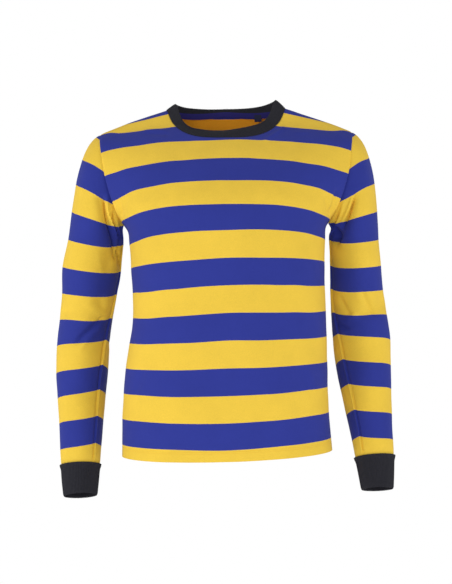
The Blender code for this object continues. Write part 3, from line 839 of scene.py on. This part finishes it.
def panel_cloth(face):
    """The front or back panel, with its hem."""
    lead_table, sign, phase = PANELS[face][1:]
    share, level = panel_grid(face)
    width = read(EDGE, EDGE_COLUMNS, "half_width", level)
    place = np.stack([share * PANEL_HALF, level + lead_at(lead_table, share, level)], axis=-1)
    grid = panel_points(face, share, level)
    piece = Cloth(f"{face}_cloth", grid, place, JERSEY, sign=sign, seam_rows=(-1,))
    piece.relief += crease_height(CREASES[face], share, level, width)
    piece.relief += drift_height(share * width, level, phase)
    piece.extra_inside = JERSEY * HEM_LAYER * soft_step((HEM_TURN - level) / HEM_STEP)
    for row in HEM_ROWS:
        piece.relief -= HEM_PULL * bell((level - row) / HEM_STEP)
    piece.relief += HEM_RIDGE * bell((level - HEM_TURN) / HEM_RIDGE_WIDTH)
    return piece


def sleeve_cloth(name):
    """A sleeve, one tube with its seam along the underarm."""
    side, table = SLEEVES[name]
    grid, downs, turn = sleeve_grid(side, table)
    half_width, half_depth = read_all(table, RING_COLUMNS, np.maximum(downs, CAP_END))[3:5]
    around = math.pi * (half_width + half_depth)
    across = np.repeat((turn / 2)[None, :], len(downs), axis=0)
    bend = np.minimum(across, 1 - across)
    outer, front, inner = read_all(SLEEVE_LEAD, SLEEVE_LEAD_COLUMNS, downs)
    to_front = soft_step(bend / SLEEVE_FRONT)
    past_front = np.clip((bend - SLEEVE_FRONT) / (0.5 - SLEEVE_FRONT), 0, 1)
    to_inner = np.where(across < 0.5, past_front**2, (bend / 0.5) ** 1.5)
    lead = MILLIMETRE * (outer + (front - outer) * to_front + (inner - front) * to_inner)
    down = (downs + lead - SLEEVE_EDGE) * STRIPE / SLEEVE_STRIPE + HEM_EDGE
    place = np.stack([across * SLEEVE_ROUND, down], axis=-1)
    sewn = {"wrap": SLEEVE_ROUND, "sign": side, "seam_rows": (0, -1)}
    piece = Cloth(f"sleeve_{name}_cloth", grid, place, JERSEY, **sewn)
    piece.relief += crease_height(CREASES[name], across, downs, around)
    piece.relief += DRIFT_ON_SLEEVE * drift_height(across * around, downs, 1.1 * side)
    aside = (across - 0.5) * around / ARM_RIDGE_WIDTH
    seam = ARM_RIDGE * bell(aside) - ARM_DITCH * bell(aside + 2)
    piece.relief += seam * soft_step((downs - ARM_RIDGE_START) / ARM_RIDGE_FADE)
    return piece


def round_edge(piece, shares, start):
    """Thins a piece towards its free edge, which is a soft fold of the rib."""
    past = np.clip((shares - start) / (1 - start), 0, FOLD_END)
    piece.thickness = piece.thickness * np.sqrt(1 - past**2)[:, None]


def neck_frame(seam):
    """Bearing of each point of the neck seam, with the way the band rises there and the way it faces."""
    inward = np.array(NECK_MIDDLE) - seam
    inward[:, 2] = 0
    inward = unit(inward)
    bearing = np.degrees(np.arctan2(-inward[:, 0], inward[:, 1]))
    lean = np.radians(read(BAND, BAND_COLUMNS, "lean", bearing))[:, None]
    up = np.array([0.0, 0.0, 1.0])
    return bearing, np.sin(lean) * inward + np.cos(lean) * up, np.sin(lean) * up - np.cos(lean) * inward


def band_cloth():
    """The rib neckband, standing on the neck seam and leaning towards the neck."""
    seam = neck_seam()
    length = run_of(close_ring(seam))[-1]
    ribs = round(length / RIB_SPACING)
    knit = ribs * RIB_SPACING
    seam, run = evenly(seam, ribs * FACES_PER_RIB)
    bearing, rise, outward = neck_frame(seam)
    height = read(BAND, BAND_COLUMNS, "height", bearing)[:, None]
    shares = np.sin(np.linspace(0, math.pi / 2, BAND_ROWS + 1))
    crowns = BAND_CROWN * np.sin(math.pi * shares)
    rows = [seam + rise * height * share + outward * crown for share, crown in zip(shares, crowns)]
    place = even_places(run * (knit / length), shares * BAND_HEIGHT)
    piece = Cloth("neckband_rib", np.array(rows), place, RIB, wrap=knit, flat=(length, BAND_CUT))
    round_edge(piece, shares, BAND_FOLD)
    return piece


def cuff_cloth(name):
    """A rib cuff, gathered a little where it joins the sleeve."""
    side, table = SLEEVES[name]
    ring = sleeve_ring(side, table, np.linspace(0, 2, 721)[:-1], CUFF_MEASURED)[0]
    length = run_of(close_ring(ring))[-1]
    ribs = round(length / RIB_SPACING)
    knit = ribs * RIB_SPACING
    turn = np.linspace(0, 2, ribs * FACES_PER_RIB + 1)[:-1]
    along = np.linspace(0, CUFF_END - SLEEVE_LENGTH, CUFF_ROWS + 1)
    rows = np.array([sleeve_ring(side, table, turn, SLEEVE_LENGTH + down)[0] for down in along])
    place = even_places(turn / 2 * knit, along)
    sizes = {"wrap": knit, "sign": side, "flat": (length, CUFF_END - SLEEVE_LENGTH)}
    piece = Cloth(f"cuff_{name}_rib", rows, place, RIB, **sizes)
    bulge = CUFF_BULGE * bell(along / CUFF_BULGE_LENGTH)
    piece.raise_by(np.repeat(bulge[:, None], len(turn), axis=1))
    round_edge(piece, along / along[-1], CUFF_FOLD)
    return piece


def add_node(tree, kind, settings=None, inputs=None):
    """Adds a node with its settings, and its inputs set to a value or linked from a socket."""
    node = tree.nodes.new(kind)
    for name, value in (settings or {}).items():
        setattr(node, name, value)
    for name, value in (inputs or {}).items():
        socket = node.inputs[name]
        if isinstance(value, bpy.types.NodeSocket):
            tree.links.new(value, socket)
        else:
            socket.default_value = value
    return node


def add_math(tree, operation, *values):
    """One sum of values or sockets, as the socket of its result."""
    return add_node(tree, "ShaderNodeMath", {"operation": operation}, dict(enumerate(values))).outputs[0]


def new_tree(name, sizes):
    """A Geometry Nodes tree with a geometry input and output and a named input for each size, and the
    sockets of its inputs."""
    tree = bpy.data.node_groups.new(name, "GeometryNodeTree")
    tree.interface.new_socket("Geometry", in_out="OUTPUT", socket_type="NodeSocketGeometry")
    kinds = {"Geometry": "Geometry", **dict.fromkeys(sizes, "Float"), "Material": "Material"}
    for label, kind in kinds.items():
        tree.interface.new_socket(label, in_out="INPUT", socket_type=f"NodeSocket{kind}")
    return tree, tree.nodes.new("NodeGroupInput").outputs


def finish_tree(tree, geometry, start):
    """Ends a tree in Realize Instances and Set Material."""
    real = add_node(tree, "GeometryNodeRealizeInstances", inputs={"Geometry": geometry})
    painted = {"Geometry": real.outputs["Geometry"], "Material": start["Material"]}
    paint = add_node(tree, "GeometryNodeSetMaterial", inputs=painted)
    add_node(tree, "NodeGroupOutput", inputs={"Geometry": paint.outputs["Geometry"]})
    return tree


def rib_tree():
    """Raises the ribs of a rib knit: ridges across the band, spaced along its first cloth direction."""
    tree, start = new_tree("rib_knit_relief", ("Rib Spacing", "Rib Height"))
    run = add_node(tree, "GeometryNodeInputNamedAttribute", {"data_type": "FLOAT"}, {"Name": "rib_run"})
    ribs = add_math(tree, "DIVIDE", run.outputs["Attribute"], start["Rib Spacing"])
    wave = add_math(tree, "COSINE", add_math(tree, "MULTIPLY", ribs, 2 * math.pi))
    high = add_math(tree, "MULTIPLY", wave, start["Rib Height"])
    normal = tree.nodes.new("GeometryNodeInputNormal").outputs[0]
    move = add_node(tree, "ShaderNodeVectorMath", {"operation": "SCALE"}, {0: normal, "Scale": high})
    moved = {"Geometry": start["Geometry"], "Offset": move.outputs[0]}
    raised = add_node(tree, "GeometryNodeSetPosition", inputs=moved)
    return finish_tree(tree, raised.outputs["Geometry"], start)


def stitch_tree():
    """Lays short stitches of thread end to end along a curve."""
    tree, start = new_tree("lockstitch_row", ("Pitch", "Stitch Length", "Thread"))
    spaced = {"Curve": start["Geometry"], "Length": start["Pitch"]}
    points = add_node(tree, "GeometryNodeCurveToPoints", {"mode": "LENGTH"}, spaced)
    bead = add_node(tree, "GeometryNodeMeshUVSphere", inputs={"Segments": 6, "Rings": 4, "Radius": 0.5})
    sides = {0: start["Thread"], 1: start["Thread"], 2: start["Stitch Length"]}
    size = add_node(tree, "ShaderNodeCombineXYZ", inputs=sides)
    drawn_out = {"Geometry": bead.outputs["Mesh"], "Scale": size.outputs[0]}
    shape = add_node(tree, "GeometryNodeTransform", inputs=drawn_out)
    laid_out = {
        "Points": points.outputs["Points"],
        "Instance": shape.outputs["Geometry"],
        "Rotation": points.outputs["Rotation"],
    }
    laid = add_node(tree, "GeometryNodeInstanceOnPoints", inputs=laid_out)
    return finish_tree(tree, laid.outputs["Instances"], start)


def run_tree(made, tree, material, **sizes):
    """Runs a tree on an object and gives the result as a plain mesh object of the same name."""
    modifier = made.modifiers.new("made", "NODES")
    modifier.node_group = tree
    for item in tree.interface.items_tree:
        if item.in_out == "INPUT" and item.name in sizes:
            modifier[item.identifier] = sizes[item.name]
        elif item.in_out == "INPUT" and item.name == "Material":
            modifier[item.identifier] = material
    made.update_tag()
    bpy.context.view_layer.update()
    graph = bpy.context.evaluated_depsgraph_get()
    mesh = bpy.data.meshes.new_from_object(made.evaluated_get(graph), depsgraph=graph)
    name = made.name
    bpy.data.objects.remove(made, do_unlink=True)
    mesh.name = name
    return link_object(name, mesh)


def hex_to_linear(code):
    """An sRGB hex colour as linear RGBA."""
    channels = [int(code[i : i + 2], 16) / 255 for i in (1, 3, 5)]
    linear = [c / 12.92 if c <= 0.04045 else ((c + 0.055) / 1.055) ** 2.4 for c in channels]
    return (*linear, 1.0)


def bare_material(name):
    """A new material, its tree of nodes and the sockets of its shader."""
    material = bpy.data.materials.new(name)
    material.use_nodes = True
    return material, material.node_tree, material.node_tree.nodes["Principled BSDF"].inputs


def textile(name, roughness, sheen, sheen_roughness=0.5):
    """A finish with hardly a shine of its own, and the soft bloom of short fibres at the edges."""
    material, tree, shader = bare_material(name)
    shader["Roughness"].default_value = roughness
    shader["Metallic"].default_value = 0.0
    shader["IOR"].default_value = 1.47
    shader["Specular IOR Level"].default_value = 0.15
    shader["Sheen Weight"].default_value = sheen
    shader["Sheen Roughness"].default_value = sheen_roughness
    return material, tree, shader


def cloth_socket(tree):
    """The place on the cloth in metres."""
    return add_node(tree, "ShaderNodeUVMap", {"uv_map": "ClothMetres"}).outputs[0]


def cloth_axes(tree):
    return add_node(tree, "ShaderNodeSeparateXYZ", inputs={0: cloth_socket(tree)}).outputs


def noise(tree, scale, detail, roughness=0.5):
    """A cloudy value, fixed to the garment."""
    place = add_node(tree, "ShaderNodeTexCoord").outputs["Object"]
    sizes = {"Vector": place, "Scale": scale, "Detail": detail, "Roughness": roughness}
    return add_node(tree, "ShaderNodeTexNoise", inputs=sizes).outputs[0]


def spread(tree, cloudy, low, high):
    """A cloudy value drawn out to run from low to high."""
    ends = {"Value": cloudy, "From Min": 0.3, "From Max": 0.7, "To Min": low, "To Max": high}
    return add_node(tree, "ShaderNodeMapRange", inputs=ends).outputs[0]


def woven_lines(tree, scale):
    """Fine lines that run across a tape."""
    settings = {"wave_type": "BANDS", "bands_direction": "Y"}
    sizes = {"Vector": cloth_socket(tree), "Scale": scale, "Distortion": 0.0}
    return add_node(tree, "ShaderNodeTexWave", settings, sizes).outputs["Fac"]


def mix(tree, factor, *colours, blend="MIX"):
    """Two colours mixed, each a hex code or a socket."""
    first, second = (hex_to_linear(c) if isinstance(c, str) else c for c in colours)
    settings = {"data_type": "RGBA", "blend_type": blend}
    mixed = {"Factor": factor, "A": first, "B": second}
    return add_node(tree, "ShaderNodeMix", settings, mixed).outputs["Result"]


def add_bump(tree, shader, strength, distance, height):
    sizes = {"Strength": strength, "Distance": distance, "Height": height}
    tree.links.new(add_node(tree, "ShaderNodeBump", inputs=sizes).outputs[0], shader["Normal"])


def striped_jersey_material():
    """Yarn-dyed single jersey in cotton: each stripe is knitted in its own yarn, so its edge steps from
    stitch to stitch, and the face is rows of small upright Vs. Matt, with a faint bloom. On the reverse its
    yellow is painted a deeper orange, as painted shade for the dim warm light inside the shirt."""
    material, tree, shader = textile("yarn_dyed_cotton_jersey", 0.86, 0.05)
    across, along = cloth_axes(tree)[:2]
    part_way = add_math(tree, "PINGPONG", add_math(tree, "DIVIDE", across, WALE), 0.5)
    stitch_row = add_math(tree, "ADD", along, add_math(tree, "MULTIPLY", part_way, COURSE))
    from_edge = add_math(tree, "SUBTRACT", stitch_row, HEM_EDGE)
    pairs = add_math(tree, "DIVIDE", from_edge, 2 * STRIPE)
    yellow = add_math(tree, "GREATER_THAN", add_math(tree, "FRACT", pairs), 0.5)
    # On the reverse the yellow turns a deeper orange: painted shade for the dim inside of the shirt
    inside = add_node(tree, "ShaderNodeAttribute", {"attribute_name": "reverse_side_painted_shade"}).outputs["Fac"]
    yarn = mix(tree, yellow, BLUE, mix(tree, inside, YELLOW, YELLOW_INSIDE_PAINTED_SHADE))
    uneven = spread(tree, noise(tree, 14.0, 3.0, 0.6), 0.96, 1.04)
    speck = spread(tree, noise(tree, 900.0, 2.0), 0.94, 1.06)
    both = add_math(tree, "MULTIPLY", uneven, speck)
    shade = add_node(tree, "ShaderNodeCombineXYZ", inputs={0: both, 1: both, 2: both}).outputs[0]
    tree.links.new(mix(tree, 1.0, yarn, shade, blend="MULTIPLY"), shader["Base Color"])
    row_share = add_math(tree, "PINGPONG", add_math(tree, "DIVIDE", stitch_row, COURSE), 0.5)
    add_bump(tree, shader, 0.35, 0.0003, add_math(tree, "ADD", row_share, part_way))
    return material


def rib_material():
    """Cotton rib with a little elastane, piece-dyed near black: matt, with a grey bloom on the ridges."""
    material, tree, shader = textile("charcoal_cotton_rib", 0.82, 0.10, 0.4)
    fibre = spread(tree, noise(tree, 700.0, 2.0), 0.0, 1.0)
    tree.links.new(mix(tree, fibre, RIB_DARK, RIB_LIGHT), shader["Base Color"])
    rows = add_math(tree, "DIVIDE", cloth_axes(tree)[1], RIB_COURSE)
    add_bump(tree, shader, 0.4, 0.0004, add_math(tree, "PINGPONG", rows, 0.5))
    return material


def label_material():
    """Damask-woven polyester tape: dense and smooth, with a faint satin line along the weft."""
    material, tree, shader = textile("woven_polyester_tape", 0.48, 0.05)
    weft = woven_lines(tree, 700.0)
    tree.links.new(mix(tree, weft, LABEL_DARK, LABEL_LIGHT), shader["Base Color"])
    add_bump(tree, shader, 0.3, 0.0001, weft)
    return material


def tape_material():
    """A strip of the blue jersey turned to its dull back, worn smooth by the seam under it. Its blue is
    painted darker than the jersey's, as painted shade for the dim inside of the neck.
    """
    material, tree, shader = textile("blue_jersey_tape", 0.9, 0.1)
    tree.links.new(mix(tree, woven_lines(tree, 240.0), TAPE_DARK_PAINTED_SHADE, TAPE_LIGHT_PAINTED_SHADE), shader["Base Color"])
    return material


def thread_material():
    """Corespun polyester sewing thread, dyed to match: a soft gloss along each stitch."""
    material, tree, shader = textile("corespun_sewing_thread", 0.55, 0.10)
    twist = noise(tree, 1500.0, 1.0)
    tree.links.new(mix(tree, twist, THREAD_DARK, THREAD_GOLD), shader["Base Color"])
    return material


def dress(made, node):
    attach(made, "root")
    if node:
        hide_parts(node)


def rib_object(piece, tree, material):
    """A rib piece as an object whose ridges the tree raises."""
    mesh = cloth_mesh(piece)
    add_attribute(mesh, "rib_run", np.tile(piece.place[..., 0].ravel(), 2))
    made = add_object(piece.name, mesh, material)
    finished = run_tree(made, tree, material, **{"Rib Spacing": RIB_SPACING, "Rib Height": RIB_HEIGHT})
    finished.data.attributes.remove(finished.data.attributes["rib_run"])
    return finished


def make_curve(name, points):
    """A closed curve along points, for the stitches to follow."""
    curve = bpy.data.curves.new(name, "CURVE")
    curve.dimensions = "3D"
    spline = curve.splines.new("POLY")
    spline.points.add(len(points) - 1)
    for point, place in zip(spline.points, points):
        point.co = (*place, 1.0)
    spline.use_cyclic_u = True
    return link_object(name, curve)


def hem_stitches(panels, tree, material):
    """Two rows of stitches round the hem, on the outside of both panels."""
    made = []
    for number, row in enumerate(HEM_ROWS):
        ring = []
        for piece, face in zip(panels, PANELS):
            levels = panel_grid(face)[1].T
            outside = piece.grid + piece.normals * (piece.thickness[..., None] / 2 + THREAD * STITCH_LIFT)
            points = []
            for level, up in zip(levels, outside.transpose(1, 2, 0)):
                points.append([np.interp(row, level, values) for values in up])
            ring.append(np.array(points)[:: piece.sign][:-1])
        curve = make_curve(f"hem_stitch_row_{number + 1}", np.concatenate(ring))
        sizes = {"Pitch": STITCH_PITCH, "Stitch Length": STITCH_LENGTH, "Thread": THREAD}
        made.append(run_tree(curve, tree, material, **sizes))
    return made


def inside_neck(name, thickness, chosen, heights, clear):
    """A strip of tape inside the back of the neck, over the chosen points of the neck seam, between
    heights above and below it and clear of the rib by the lengths given for each height."""
    seam = evenly(neck_seam(), TAPE_POINTS)[0]
    bearing, rise, outward = neck_frame(seam)
    keep = np.flatnonzero(chosen(seam, bearing))
    start = np.flatnonzero(np.diff(keep) > 1)
    keep = np.roll(keep, -(start[0] + 1)) if len(start) else keep
    seam, rise, outward = seam[keep], rise[keep], outward[keep]
    hang = unit(np.array([0.0, 0.0, 1.0]) - TAPE_LEAN * outward)
    rows = []
    for height, gap in zip(heights, clear):
        rows.append(seam + (rise if height > 0 else hang) * height - outward * gap)
    run = run_of(seam)
    flat = (run[-1], heights[-1] - heights[0])
    return Cloth(name, np.array(rows), even_places(run, heights - heights[0]), thickness, flat=flat)


def tape_cloth():
    """The tape that covers the neck seam inside the back, from shoulder seam to shoulder seam."""
    heights = np.linspace(*TAPE_SPAN, TAPE_ROWS)
    to_edge = np.linspace(-1, 1, TAPE_ROWS) ** 6
    clear = RIB / 2 + TAPE / 2 + RIB_HEIGHT + TAPE_CLEAR - TAPE_EDGE * to_edge

    def chosen(seam, bearing):
        return np.abs(bearing) > TAPE_BEARING

    return inside_neck("back_neck_tape", TAPE, chosen, heights, clear)


def label_cloth():
    """A small label sewn under the tape's edge, plain on both sides, hanging a little free."""
    heights = np.linspace(*LABEL_SPAN, LABEL_ROWS)
    free = np.linspace(1.0, 0.0, LABEL_ROWS) ** 1.5
    clear = RIB / 2 + TAPE + LABEL / 2 + RIB_HEIGHT + LABEL_CLEAR + LABEL_FREE * free
    low, high = LABEL_SIDES

    def chosen(seam, bearing):
        return (seam[:, 0] > low) & (seam[:, 0] < high) & (seam[:, 1] > 0)

    return inside_neck("neck_label_tape", LABEL, chosen, heights, clear)


def make_camera():
    data = bpy.data.cameras.new("camera")
    data.sensor_fit = "HORIZONTAL"
    data.sensor_width = SENSOR
    data.lens = FOCAL_PIXELS / FRAME_WIDTH * SENSOR
    data.clip_start = 0.05
    data.clip_end = 30.0
    camera = link_object("camera", data)
    camera.location = CAMERA_PLACE
    camera.rotation_euler = (math.radians(90 + CAMERA_PITCH), 0.0, 0.0)
    bpy.context.scene.camera = camera


def make_light(name, place, width, height, power):
    """A soft rectangular light that faces the middle of the garment."""
    data = bpy.data.lights.new(name, "AREA")
    data.shape = "RECTANGLE"
    data.size = width
    data.size_y = height
    data.energy = power
    light = link_object(name, data)
    light.location = place
    light.rotation_mode = "QUATERNION"
    light.rotation_quaternion = (Vector(LIT_MIDDLE) - Vector(place)).to_track_quat("-Z", "Y")


def make_studio():
    """A pale round floor well below the hanging garment, a white surround and four soft lights."""
    turns = [2 * math.pi * k / FLOOR_SIDES for k in range(FLOOR_SIDES)]
    ring = [(FLOOR_RADIUS * math.cos(a), FLOOR_RADIUS * math.sin(a), FLOOR_HEIGHT) for a in turns]
    mesh = bpy.data.meshes.new("studio_floor")
    mesh.from_pydata(ring, [], [tuple(range(FLOOR_SIDES))])
    material, _, shader = bare_material("pale_matt_floor")
    shader["Base Color"].default_value = hex_to_linear(FLOOR)
    shader["Roughness"].default_value = 0.9
    floor = add_object("studio_floor", mesh, material)
    world = bpy.data.worlds.new("white_surround")
    world.use_nodes = True
    background = world.node_tree.nodes["Background"].inputs
    background["Color"].default_value = (1.0, 1.0, 1.0, 1.0)
    seen = add_node(world.node_tree, "ShaderNodeLightPath").outputs["Is Camera Ray"]
    ends = {"Value": seen, "To Min": SURROUND_LIGHT, "To Max": 1.0}
    strength = add_node(world.node_tree, "ShaderNodeMapRange", inputs=ends)
    world.node_tree.links.new(strength.outputs[0], background["Strength"])
    bpy.context.scene.world = world
    for softbox in SOFTBOXES:
        make_light(*softbox)
    bpy.context.scene.view_settings.view_transform = "Standard"


def main():
    jersey = striped_jersey_material()
    rib = rib_material()
    pieces = [panel_cloth(face) for face in PANELS] + [sleeve_cloth(name) for name in SLEEVES]
    finish_seams(pieces)
    made = {}
    for piece in pieces:
        made[piece.name] = add_object(piece.name, cloth_mesh(piece), jersey)
        dress(made[piece.name], JERSEY_PIECES[piece.name][0])
    ribs = rib_tree()
    trims = [(band_cloth(), "neckband", ["front_cloth", "back_cloth"])]
    trims += [(cuff_cloth(name), f"cuff_{name}", [f"sleeve_{name}_cloth"]) for name in SLEEVES]
    for piece, node, sewn_to in trims:
        trim = rib_object(piece, ribs, rib)
        dress(trim, node)
    rows = hem_stitches(pieces[:2], stitch_tree(), thread_material())
    for stitches in rows:
        dress(stitches, None)
    piece = tape_cloth()
    tape = add_object(piece.name, cloth_mesh(piece), tape_material())
    dress(tape, None)
    piece = label_cloth()
    label = add_object(piece.name, cloth_mesh(piece), label_material())
    dress(label, "neck_label")
    make_camera()
    make_studio()


main()
